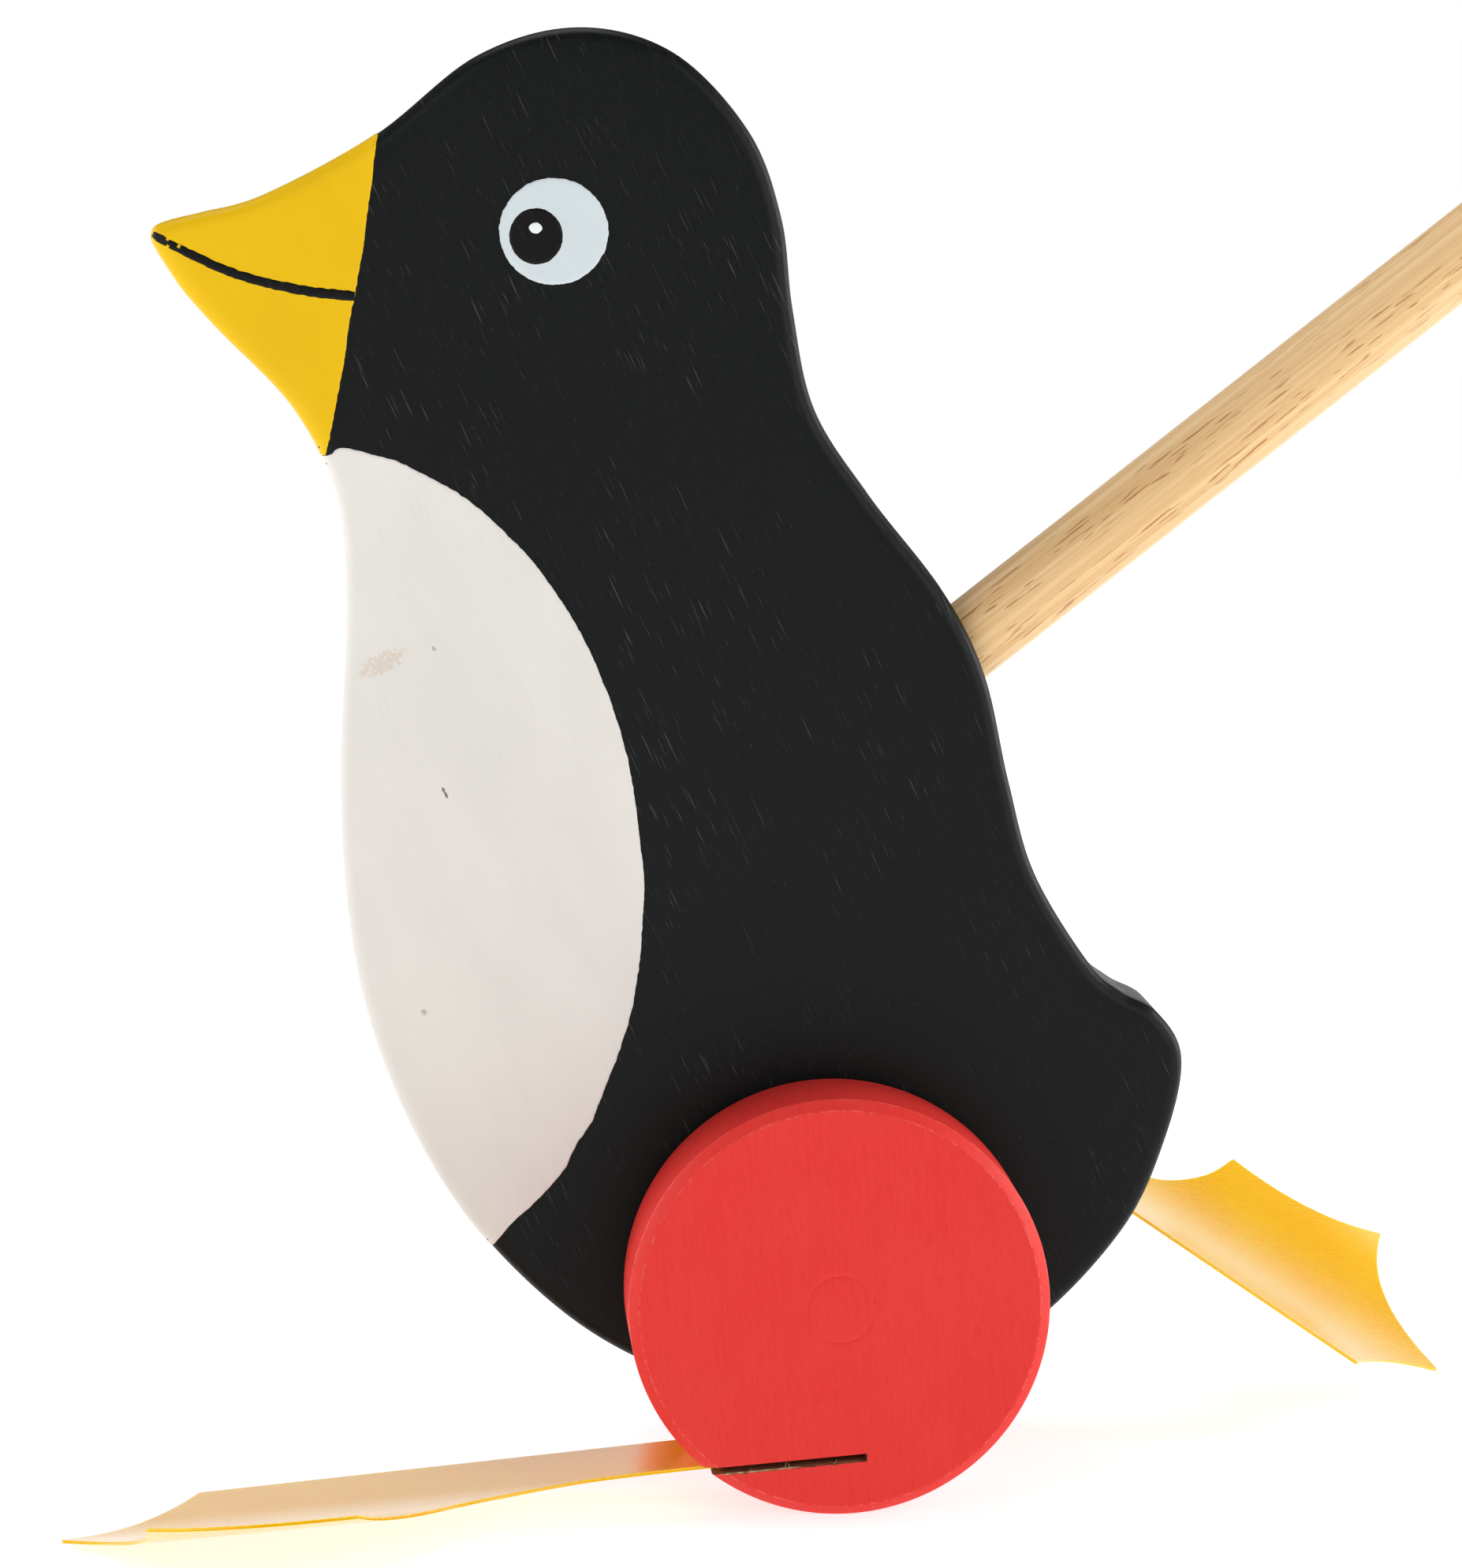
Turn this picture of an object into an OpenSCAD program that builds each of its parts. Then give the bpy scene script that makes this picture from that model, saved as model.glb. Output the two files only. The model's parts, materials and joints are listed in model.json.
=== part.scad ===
// Push-along penguin: a flat wooden bird on one axle, with a stick handle in its
// back and a floppy webbed foot set into the rim of each wheel, half a turn apart.
// X runs from beak to tail, Y runs along the axle and Z is up.
// The origin is on the floor, under the middle of the axle.

/* [Body board] */
// Thickness of the body board
board_t = 20; // [18:1:22]
// How far the board's edges are eased back
edge_ease = 1.2; // [0.6:0.2:1.6]
// Thickness of one coat of paint
coat = 0.15; // [0.1:0.05:0.2]

/* [Face] */
// Diameter of the white of the eye
eye_d = 15.8; // [12:0.2:18]
// Diameter of the pupil
pupil_d = 8; // [6:0.5:9]
// Width of the painted mouth line
mouth_w = 1.3; // [0.8:0.1:1.6]

/* [Wheels] */
// Diameter of the wheels
wheel_d = 62; // [58:1:66]
// Thickness of the wheels
wheel_w = 20; // [18:1:22]
// Chamfer on both rims of a wheel
wheel_chamfer = 1.5; // [1:0.25:2]
// Gap between the board and each wheel
wheel_gap = 1; // [0.75:0.25:2]
// Diameter of the axle dowel
axle_d = 10; // [8:1:12]
// Running clearance round the axle, on the radius
axle_play = 0.05; // [0.02:0.01:0.09]
// Turn of the left wheel, from its saw cut lying level underneath
left_turn = 4.7; // [0:0.1:10]
// Turn of the right wheel, about half a turn ahead of the left
right_turn = 175; // [170:0.5:186]

/* [Feet] */
// Thickness of the foot sheet
sheet_t = 0.5; // [0.4:0.1:1]
// Width of the saw cut that holds a foot
kerf_w = 1.2; // [1.1:0.1:1.6]
// Distance of the saw cut from the wheel's centre
kerf_offset = 22.4; // [21:0.2:24]
// Length of the saw cut
kerf_len = 23.5; // [20:0.5:26]
// Width of the strip where it enters the wheel
strip_w = 16.5; // [14:0.5:17]
// Droop of the right foot, which hangs in the air
right_droop = 30; // [0:1:40]
// Radius that the right foot curls to across its width
right_curl_r = 90; // [60:1:120]
// Radius that the left foot curls to where it leaves the floor
left_curl_r = 80; // [70:1:140]

/* [Handle] */
// Diameter of the handle rod
rod_d = 12; // [10:1:14]
// Length of the handle rod
rod_len = 500; // [350:10:600]
// Slope of the handle rod
rod_slope = 38; // [30:1:45]
// Diameter of the ball grip
ball_d = 35; // [30:1:40]

/* [Hidden] */
$fn = 96;
axle_z = wheel_d / 2;
wheel_y = board_t / 2 + wheel_gap;
axle_len = 2 * (wheel_y + wheel_w);
// the strip stands back from both faces of its wheel, a little less from the inner one
strip_shift = 0.5;
strip_y = wheel_y + (wheel_w - strip_w) / 2 - strip_shift;
// what is left of the saw cut past the end of the strip
kerf_spare = 0.5;
// where each strip lies in its saw cut: 1 is against the wall nearer to the axle, -1 against the other
left_seat = 1;
right_seat = -0.6;
mouth_x = -sqrt(pow(wheel_d / 2, 2) - pow(kerf_offset, 2));
// the sheet bends freely from this far outside the saw cut
flex_start = 1.2;
flex_gap = 0.4;
droop_r = 9;
// the left foot's tip flattens onto the floor from this far along
lay_from = 79;
lay_r = 175;
left_curl_from = 17.5;
curl_ease = 14;
// the rod's foot is the middle of its socket's floor, seen from the axle
rod_foot = [1.8, 79.8];
grip_hold = 5;
rod_end_chamfer = 0.8;
glue_gap = 0.05;
// long enough for the socket to come out through the board's back
socket_reach = 60;
// the layers that ease the board's edges: [how far in, how much thinner], in edge_ease
EDGE_LAYERS = [[0, 2.4], [0.3, 1], [1, 0]];

// The board's outline and the paint edges are given as [x, z] from the axle.
OUTLINE = [
    [-97.5, 157.8], [-95, 158.5], [-92, 159.2], [-82.8, 161.8], [-66.6, 170.5],
    [-51.7, 182], [-37, 186.1], [-23.1, 182.5], [-12.1, 171.2], [-7.2, 158.5],
    [-5.5, 145], [-2.3, 130.4], [5.9, 117.6], [16.9, 103.4], [23.2, 90.9], [26.9, 75],
    [30.9, 61], [39.1, 47.5], [44.2, 42.9], [49.6, 39.8], [53.4, 32.9], [51.2, 21],
    [44.7, 6.7], [30.9, -7.9], [14, -16.9], [-4, -19], [-21.8, -15.1], [-37.7, -6.7],
    [-52.4, 7.6], [-62.3, 23.6], [-68.9, 41.5], [-71.9, 60], [-72.4, 79], [-71.4, 99],
    [-72.4, 116.5], [-78.5, 130.3], [-89.7, 142.3], [-94.4, 147.6], [-96.9, 151.2],
    [-98.6, 154], [-99.3, 155.6], [-98.9, 157]
];
BEAK_EDGE = [
    [-66, 174], [-66.4, 169.5], [-68.4, 155], [-70.4, 144], [-72.2, 133.5], [-74.4, 123.9]
];
BELLY_EDGE = [
    [-78, 123.4], [-74.5, 123.5], [-73.3, 124.1], [-71.5, 125], [-68, 124.2], [-62, 122.2],
    [-52.5, 116.5], [-43.3, 107.2], [-36.5, 96.5], [-31.3, 83.5], [-28.5, 69], [-27.8, 57],
    [-29.5, 41.9], [-34.8, 26.4], [-41.7, 14.9], [-52, 4]
];
MOUTH = [[-97.6, 155.7], [-95.5, 154.2], [-87, 150.3], [-78, 148.1], [-70.2, 147.1]];
EYE = [-40.7, 156.5];
PUPIL = [-43.3, 155.8];
GLINT = [-43.4, 157];
glint_d = 1.8;

// The foot's flat pattern, [along, across] from the inner corner of its root.
HEEL = [75, 4.2];
TOES = [[50.3, 48.2], [79.4, 54.5], [93.6, 28.5]];
NECK = [[0, strip_w], [17, 18], [30, 22.8], [38, 28.3], [46, 39], TOES[0]];
SCALLOPS = [2.4, 4.4, 2.4];
inner_at_toe = [50, 67, HEEL.x];
across = 8;

// ---- curves ----

function mix(p, q, t) = p + (q - p) * t;

// one point of the smooth curve from b to c, with a and d as its neighbours
function curve_point(a, b, c, d, t) =
    0.5 * (2 * b + (c - a) * t + (2 * a - 5 * b + 4 * c - d) * t * t
        + (3 * b - a - 3 * c + d) * t * t * t);

function closed_curve(p, steps) = let (n = len(p)) [
    for (i = [0:n - 1], s = [0:steps - 1])
        curve_point(p[(i + n - 1) % n], p[i], p[(i + 1) % n], p[(i + 2) % n], s / steps)
];

function open_curve(p, steps) = let (n = len(p)) concat([
    for (i = [0:n - 2], s = [0:steps - 1])
        curve_point(p[max(i - 1, 0)], p[i], p[i + 1], p[min(i + 2, n - 1)], s / steps)
], [p[n - 1]]);

function unit(v) = v / norm(v);
function left_of(v) = [-v.y, v.x];

// the outline moved in by d, along the normal at each point
function inset(p, d) = let (n = len(p)) [
    for (i = [0:n - 1]) p[i] - d * left_of(unit(p[(i + 1) % n] - p[(i + n - 1) % n]))
];

// a strip of width w along an open curve, pointed at its start
function ribbon(p, w) = let (n = len(p)) concat(
    [for (i = [0:n - 1]) p[i] + side_step(p, i, w)],
    [for (i = [n - 1:-1:1]) p[i] - side_step(p, i, w)]
);
function side_step(p, i, w) = let (n = len(p), along = p[min(i + 1, n - 1)] - p[max(i - 1, 0)])
    left_of(unit(along)) * w / 2 * min(1, i / 3);

board_curve = closed_curve(OUTLINE, 4);

// ---- body board and its coats of paint ----

module upright(t) {
    rotate([90, 0, 0]) linear_extrude(t, center = true) children();
}

module from_axle() {
    translate([0, 0, axle_z]) children();
}

// the board in three layers that step in towards its faces, grown by a coat
module board_block(grow = 0) {
    for (layer = EDGE_LAYERS) {
        upright(board_t - layer[1] * edge_ease + 2 * grow)
            polygon(inset(board_curve, layer[0] * edge_ease - grow));
    }
}

module along_handle() {
    translate([rod_foot.x, 0, rod_foot.y]) rotate([0, 90 - rod_slope, 0]) children();
}

module body_board() {
    color("#1f2122") from_axle() difference() {
        board_block();
        rotate([90, 0, 0]) cylinder(d = axle_d + 2 * axle_play, h = 2 * board_t, center = true);
        along_handle() cylinder(d = rod_d + 2 * glue_gap, h = socket_reach);
    }
}

// the part of a coat that lies inside the outline given
module coat_over(region) {
    difference() {
        intersection() {
            board_block(coat);
            upright(2 * board_t) polygon(region);
        }
        board_block();
    }
}

module beak_paint() {
    color("#e9bc14") from_axle()
        coat_over(concat(open_curve(BEAK_EDGE, 4), [[-110, 123.9], [-110, 174]]));
}

module belly_paint() {
    color("#dedcd6") from_axle()
        coat_over(concat(open_curve(BELLY_EDGE, 4), [[-90, 4], [-90, 123.4]]));
}

// a thin shape on both faces of the board, on top of the coats already there
module on_both_faces(coats_below) {
    for (side = [-1, 1]) {
        translate([0, side * (board_t / 2 + coat * (coats_below + 0.5)), axle_z])
            upright(coat) children();
    }
}

module eye_whites() {
    color("#eef3f5") on_both_faces(0) translate(EYE) circle(d = eye_d);
}

module eye_pupils() {
    color("#101112") on_both_faces(1) translate(PUPIL) circle(d = pupil_d);
}

module eye_glints() {
    color("#f4f6f6") on_both_faces(2) translate(GLINT) circle(d = glint_d);
}

module mouth_lines() {
    color("#171717") on_both_faces(1) polygon(ribbon(open_curve(MOUTH, 4), mouth_w));
}

// ---- handle ----

module handle_rod() {
    color("#dcb480") from_axle() along_handle() {
        cylinder(d1 = rod_d - 2 * rod_end_chamfer, d2 = rod_d, h = rod_end_chamfer);
        translate([0, 0, rod_end_chamfer]) cylinder(d = rod_d, h = rod_len - 2 * rod_end_chamfer);
        translate([0, 0, rod_len - rod_end_chamfer])
            cylinder(d1 = rod_d, d2 = rod_d - 2 * rod_end_chamfer, h = rod_end_chamfer);
    }
}

module handle_ball() {
    color("#dcb480") from_axle() along_handle() difference() {
        translate([0, 0, rod_len - grip_hold]) sphere(d = ball_d);
        translate([0, 0, rod_len - ball_d]) cylinder(d = rod_d + 2 * glue_gap, h = ball_d);
    }
}

// ---- axle and wheels ----

module axle() {
    color("#d9b383") from_axle() rotate([90, 0, 0])
        cylinder(d = axle_d, h = axle_len, center = true);
}

// places things in a wheel's own frame: its saw cut level, underneath the axle
module in_wheel(turn) {
    from_axle() rotate([0, -turn, 0]) children();
}

module wheel(side, turn) {
    r = wheel_d / 2;
    c = wheel_chamfer;
    color("#de3c37") in_wheel(turn) difference() {
        translate([0, side * (wheel_y + wheel_w / 2), 0]) rotate([90, 0, 0])
            rotate_extrude() polygon([
                [axle_d / 2, -wheel_w / 2], [r - c, -wheel_w / 2], [r, c - wheel_w / 2],
                [r, wheel_w / 2 - c], [r - c, wheel_w / 2], [axle_d / 2, wheel_w / 2]
            ]);
        translate([mouth_x - wheel_d, -axle_len, -kerf_offset - kerf_w / 2])
            cube([wheel_d + kerf_len, 2 * axle_len, kerf_w]);
    }
}

module left_wheel() {
    wheel(-1, left_turn);
}

module right_wheel() {
    wheel(1, right_turn);
}

// ---- feet ----

function seat_z(seat) = -kerf_offset + seat * (kerf_w - sheet_t) / 2;

// the end of a foot's sheet that is glued into the saw cut
module foot_root(side, turn, seat) {
    color("#f6bc08") in_wheel(turn)
        translate([mouth_x - flex_start + flex_gap, side * (strip_y + strip_w / 2), seat_z(seat)])
            translate([0, -strip_w / 2, -sheet_t / 2])
                cube([kerf_len + flex_start - flex_gap - kerf_spare, strip_w, sheet_t]);
}

module left_foot_root() {
    foot_root(-1, left_turn, left_seat);
}

module right_foot_root() {
    foot_root(1, right_turn, right_seat);
}

// a shallow hollow of the given depth between two toes
function scallop(p, q, depth, t) =
    mix(p, q, t) + depth * 4 * t * (1 - t) * left_of(unit(p - q));

// rows across the pattern: [point on the outer edge, place on the inner edge, end hollow]
neck_curve = open_curve(NECK, 3);
rows = concat(
    [for (p = neck_curve) [p, p.x, 0]],
    [for (t = [1:6]) [
        scallop(TOES[0], TOES[1], SCALLOPS[0], t / 6),
        mix(inner_at_toe[0], inner_at_toe[1], t / 6), 0
    ]],
    [for (t = [1:6]) [
        scallop(TOES[1], TOES[2], SCALLOPS[1], t / 6),
        mix(inner_at_toe[1], inner_at_toe[2], t / 6), pow(t / 6, 2)
    ]]
);

function flat_point(row, t) =
    let (inner = HEEL * row[1] / HEEL.x, start = [max(inner.x, flex_start), inner.y])
    mix(start, [max(row[0].x, flex_start), row[0].y], t)
        + row[2] * SCALLOPS[2] * 4 * t * (1 - t) * left_of(unit(TOES[2] - HEEL));

// Along its length a sheet has one bend: [where it starts, its radius, its angle].
function bend_angle(a, bend) =
    min(max((a - bend[0]) / bend[1] * 180 / PI, 0), bend[2]);
function bend_point(a, bend) =
    let (turn = bend_angle(a, bend), rest = a - bend[0] - bend[1] * turn * PI / 180)
    [bend[0], 0] + bend[1] * [sin(turn), 1 - cos(turn)] + rest * [cos(turn), sin(turn)];

// Across its width it has one curl: [its radius, where it starts, which way it goes].
// formed is a flat point in space: [outwards, across, towards the axle], off the middle by h.
function formed(p, h, bend, curl) =
    let (
        ease = pow(min(p.x / curl_ease, 1), 2),
        turn = bend_angle(p.x, bend),
        past = max(p.y - curl[1], 0),
        angle = past / curl[0] * 180 / PI,
        lift = curl[2] * ease * curl[0] * (1 - cos(angle)) + h * cos(ease * angle),
        y = p.y - ease * (past - curl[0] * sin(angle)) - curl[2] * h * sin(ease * angle),
        c = bend_point(p.x, bend)
    )
    [c.x - lift * sin(turn), y, c.y + lift * cos(turn)];

function sheet_points(seat, bend, curl) = [
    for (h = [-sheet_t / 2, sheet_t / 2], row = rows, j = [0:across])
        let (p = formed(flat_point(row, j / across), h, bend, curl))
        [mouth_x - p.x, p.y + strip_y, p.z + seat_z(seat)]
];

function two(a, b, c, d, flip) = flip ? [[a, c, b], [a, d, c]] : [[a, b, c], [a, c, d]];
function sheet_faces(n, m) = let (w = m + 1, up = n * w) [
    for (i = [0:n - 2], j = [0:m - 1], f = two(i * w + j, i * w + j + 1,
        (i + 1) * w + j + 1, (i + 1) * w + j, true)) f,
    for (i = [0:n - 2], j = [0:m - 1], f = two(up + i * w + j, up + i * w + j + 1,
        up + (i + 1) * w + j + 1, up + (i + 1) * w + j, false)) f,
    for (i = [0:n - 2], f = two(i * w, (i + 1) * w, up + (i + 1) * w, up + i * w, true)) f,
    for (i = [0:n - 2], f = two(i * w + m, (i + 1) * w + m,
        up + (i + 1) * w + m, up + i * w + m, false)) f,
    for (j = [0:m - 1], f = two(j, j + 1, up + j + 1, up + j, false)) f,
    for (j = [0:m - 1], f = two((n - 1) * w + j, (n - 1) * w + j + 1,
        up + (n - 1) * w + j + 1, up + (n - 1) * w + j, true)) f
];

module foot(turn, seat, bend, curl) {
    color("#f6bc08") in_wheel(turn)
        polyhedron(sheet_points(seat, bend, curl), sheet_faces(len(rows), across));
}

module left_foot() {
    mirror([0, 1, 0])
        foot(left_turn, left_seat, [lay_from, lay_r, left_turn], [left_curl_r, left_curl_from, 1]);
}

module right_foot() {
    foot(right_turn, right_seat, [flex_start, droop_r, right_droop], [right_curl_r, 0, -1]);
}

body_board();
beak_paint();
belly_paint();
eye_whites();
eye_pupils();
eye_glints();
mouth_lines();
handle_rod();
handle_ball();
axle();
left_wheel();
right_wheel();
left_foot_root();
right_foot_root();
left_foot();
right_foot();
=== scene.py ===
import json
import math

import bmesh
import bpy
import numpy as np
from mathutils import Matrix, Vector, noise
from mathutils.geometry import delaunay_2d_cdt


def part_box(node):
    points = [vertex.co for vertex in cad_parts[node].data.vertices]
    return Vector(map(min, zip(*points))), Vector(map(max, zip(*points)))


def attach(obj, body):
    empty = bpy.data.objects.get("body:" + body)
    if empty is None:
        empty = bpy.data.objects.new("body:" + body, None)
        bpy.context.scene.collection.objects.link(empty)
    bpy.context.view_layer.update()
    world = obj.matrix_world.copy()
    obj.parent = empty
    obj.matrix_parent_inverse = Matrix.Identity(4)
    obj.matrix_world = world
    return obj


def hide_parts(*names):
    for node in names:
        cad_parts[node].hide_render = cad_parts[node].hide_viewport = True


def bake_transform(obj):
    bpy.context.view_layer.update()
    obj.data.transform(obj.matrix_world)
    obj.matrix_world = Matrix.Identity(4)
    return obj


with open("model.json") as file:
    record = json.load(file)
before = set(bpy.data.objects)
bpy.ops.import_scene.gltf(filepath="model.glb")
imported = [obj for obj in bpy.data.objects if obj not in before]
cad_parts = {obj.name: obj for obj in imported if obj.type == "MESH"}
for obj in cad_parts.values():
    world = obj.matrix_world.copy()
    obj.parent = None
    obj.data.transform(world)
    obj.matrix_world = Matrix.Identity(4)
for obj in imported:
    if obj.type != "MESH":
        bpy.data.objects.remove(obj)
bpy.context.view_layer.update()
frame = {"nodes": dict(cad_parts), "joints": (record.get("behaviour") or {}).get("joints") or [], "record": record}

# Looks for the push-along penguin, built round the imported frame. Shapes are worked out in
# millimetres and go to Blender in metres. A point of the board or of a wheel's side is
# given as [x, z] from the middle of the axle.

MM = 0.001


# ---- sizes that come from the frame ----

def box_mm(node):
    """The lowest and highest corner of a CAD node."""
    return [np.array(corner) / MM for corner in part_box(node)]


def points_of(piece):
    return np.array([v.co for v in piece.data.vertices]) / MM


def place_and_axis(rows, name):
    """The place and the axis of the joint or mount of that name."""
    found = next(row for row in rows if row["name"] == name)
    return np.array(found["pos_m"]) / MM, np.array(found["axis"])


AXLE_LOW, AXLE_HIGH = box_mm("axle")
AXLE_Z = (AXLE_LOW[2] + AXLE_HIGH[2]) / 2
AXLE_R = (AXLE_HIGH[2] - AXLE_LOW[2]) / 2
HALF_T = box_mm("body_board")[1][1]
WHEEL_LOW, WHEEL_HIGH = box_mm("right_wheel")
WHEEL_R = (WHEEL_HIGH[2] - WHEEL_LOW[2]) / 2
WHEEL_IN, WHEEL_OUT = WHEEL_LOW[1], WHEEL_HIGH[1]
STRIP_IN, STRIP_OUT = (corner[1] for corner in box_mm("right_foot_root"))
STRIP_W = STRIP_OUT - STRIP_IN
GRIP_AT, ROD_AXIS = place_and_axis(frame["record"]["mounts"], "hand_grip")
ROD_R = box_mm("handle_rod")[1][1]
ROD_SPAN = points_of(frame["nodes"]["handle_rod"]) @ ROD_AXIS
ROD_LEN = ROD_SPAN.max() - ROD_SPAN.min()
ROD_FOOT = GRIP_AT - ROD_AXIS * (GRIP_AT @ ROD_AXIS - ROD_SPAN.min())
# A length from the rod's foot that is well out of the board's back.
PAST_BACK = 2 * HALF_T + ROD_LEN / 8

# ---- sizes that the frame doesn't hold ----

# How far the board's edges are rounded, which is more than the CAD source eases them. The
# other sizes are the CAD source's own, and the next is its gap for glue and for the axle.
EDGE_EASE = 2.2
GLUE_GAP = 0.05
# The wheel's chamfer, and the saw cut that holds a foot.
CHAMFER = 1.5
KERF_W = 1.2
KERF_OFFSET = 22.4
KERF_LEN = 23.5
# The foot's sheet bends freely from FLEX_START outside the cut, and curls fully after CURL_EASE.
SHEET_T = 0.5
FLEX_START = 1.2
CURL_EASE = 14
MOUTH_X = -math.sqrt(WHEEL_R ** 2 - KERF_OFFSET ** 2)
KERF_END = MOUTH_X + KERF_LEN
KERF_TOP, KERF_BOTTOM = -KERF_OFFSET + KERF_W / 2, -KERF_OFFSET - KERF_W / 2


def turned_by(x, z, angle):
    return x * math.cos(angle) - z * math.sin(angle), x * math.sin(angle) + z * math.cos(angle)


class Foot:
    """How one foot is set in its wheel's saw cut, bent along its length and curled across it.

    The bend is [where it starts, radius, angle], and the curl [radius, where it starts, way].
    A point of the wheel's own frame is [x, outwards, z], with the saw cut level underneath."""

    def __init__(self, name, side, seat, bend, curl):
        self.name = name
        self.side = side
        self.seat_z = -KERF_OFFSET + seat * (KERF_W - SHEET_T) / 2
        self.bend_from, self.bend_r, self.bend_angle = bend
        self.curl_r, self.curl_from, self.curl_way = curl
        self.hinge = place_and_axis(frame["joints"], name + "_foot_flex")[0]
        at_rest = math.atan2(self.seat_z, MOUTH_X - FLEX_START)
        self.wheel_turn = math.atan2(self.hinge[2] - AXLE_Z, self.hinge[0]) - at_rest

    def placed(self, points):
        """Points of the wheel's own frame in the toy's frame."""
        x, z = turned_by(points[:, 0], points[:, 2], self.wheel_turn)
        return np.column_stack([x, self.side * points[:, 1], z + AXLE_Z])

    def local(self, points):
        """The other way round from placed."""
        x, z = turned_by(points[:, 0], points[:, 2] - AXLE_Z, -self.wheel_turn)
        return np.column_stack([x, self.side * points[:, 1], z])


LEFT = Foot("left", -1, 1, (79, 175, math.radians(4.7)), (80, 17.5, 1))
RIGHT = Foot("right", 1, -0.6, (FLEX_START, 9, math.radians(30)), (90, 0, -1))

OUTLINE = [
    [-97.5, 157.8], [-95, 158.5], [-92, 159.2], [-82.8, 161.8], [-66.6, 170.5],
    [-51.7, 182], [-37, 186.1], [-23.1, 182.5], [-12.1, 171.2], [-7.2, 158.5],
    [-5.5, 145], [-2.3, 130.4], [5.9, 117.6], [16.9, 103.4], [23.2, 90.9], [26.9, 75],
    [30.9, 61], [39.1, 47.5], [44.2, 42.9], [49.6, 39.8], [53.4, 32.9], [51.2, 21],
    [44.7, 6.7], [30.9, -7.9], [14, -16.9], [-4, -19], [-21.8, -15.1], [-37.7, -6.7],
    [-52.4, 7.6], [-62.3, 23.6], [-68.9, 41.5], [-71.9, 60], [-72.4, 79], [-71.4, 99],
    [-72.4, 116.5], [-78.5, 130.3], [-89.7, 142.3], [-94.4, 147.6], [-96.9, 151.2],
    [-98.6, 154], [-99.3, 155.6], [-98.9, 157]]
BEAK_EDGE = [
    [-66, 174], [-66.4, 169.5], [-68.4, 155], [-70.4, 144], [-72.2, 133.5], [-74.1, 124.8],
    [-74.6, 123.9], [-78, 123.9]]
BEAK_TIP = [-99, 156]
BELLY_EDGE = [
    [-78, 123.7], [-74.6, 123.75], [-73.4, 124.05], [-72.8, 124.6], [-71.5, 125], [-68, 124.2],
    [-62, 122.2], [-52.5, 116.5], [-43.3, 107.2], [-36.5, 96.5], [-31.3, 83.5], [-28.5, 69],
    [-27.8, 57], [-29.5, 41.9], [-34.8, 26.4], [-38.2, 20.4], [-39.7, 17.4], [-41.8, 14.8],
    [-44.4, 11.9], [-47.6, 9], [-52, 4]]
BREAST = [-71.9, 60]
MOUTH = [[-98.9, 156.1], [-95.5, 154.2], [-87, 150.35], [-78, 148.1], [-69.8, 147.1]]
EYE = [-40.7, 156.5]
PUPIL = [-43.3, 155.8]
GLINT = [-43.4, 157]

# The foot's flat pattern, [along, across] from the inner corner of its root.
HEEL = np.array([75, 4.2])
TOES = np.array([[50.3, 48.2], [79.4, 54.5], [93.6, 28.5]])
NECK = [[0, STRIP_W], [17, 18], [30, 22.8], [38, 28.3], [46, 39], [50.3, 48.2]]
SCALLOPS = [2.4, 4.4, 2.4]
INNER_AT_TOE = [50, 67, 75]


# ---- curves and flat shapes ----

def smooth_curve(points, steps, closed=False):
    """The smooth curve through the points, with that many steps from each to the next."""
    p = np.array(points, float)
    n = len(p)
    place = (lambda i: i % n) if closed else (lambda i: min(max(i, 0), n - 1))
    out = []
    for i in range(n if closed else n - 1):
        a, b, c, d = (p[place(i + k)] for k in (-1, 0, 1, 2))
        for t in np.arange(steps) / steps:
            out.append(0.5 * (2 * b + (c - a) * t + (2 * a - 5 * b + 4 * c - d) * t ** 2
                              + (3 * b - a - 3 * c + d) * t ** 3))
    return np.array(out if closed else out + [p[-1]])


def left_of(v):
    return np.stack([-v[..., 1], v[..., 0]], axis=-1)


def unit(v):
    return v / np.maximum(np.linalg.norm(v, axis=-1, keepdims=True), 1e-12)


def lengths_along(line):
    return np.concatenate([[0], np.cumsum(np.linalg.norm(np.diff(line, axis=0), axis=1))])


def spaced(line, places):
    """The points of a line at the given lengths along it."""
    at = lengths_along(line)
    return np.column_stack([np.interp(places, at, line[:, k]) for k in range(line.shape[1])])


def nearest(points, line, closed):
    """For each point, the nearest point of a line and the side direction of the line there."""
    a = line if closed else line[:-1]
    step = (np.roll(line, -1, axis=0) if closed else line[1:]) - a
    found, sides = [], []
    for some in np.array_split(points, len(points) // 1000 + 1):
        t = ((some[:, None] - a) * step).sum(2) / (step ** 2).sum(1)
        foot = a + np.clip(t, 0, 1)[..., None] * step
        best = ((some[:, None] - foot) ** 2).sum(2).argmin(1)
        found.append(foot[np.arange(len(some)), best])
        sides.append(left_of(unit(step))[best])
    return np.vstack(found), np.vstack(sides)


def nearest_gap(points, line):
    return np.linalg.norm(points - nearest(points, line, closed=False)[0], axis=1)


def inside(points, loop):
    """Which points lie inside a closed loop."""
    x, z = points[:, :1], points[:, 1:]
    a, b = loop, np.roll(loop, -1, axis=0)
    spans = (a[:, 1] > z) != (b[:, 1] > z)
    rise = np.where(a[:, 1] == b[:, 1], 1, b[:, 1] - a[:, 1])
    at = a[:, 0] + (z - a[:, 1]) / rise * (b[:, 0] - a[:, 0])
    return (spans & (x < at)).sum(1) % 2 == 1


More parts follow.
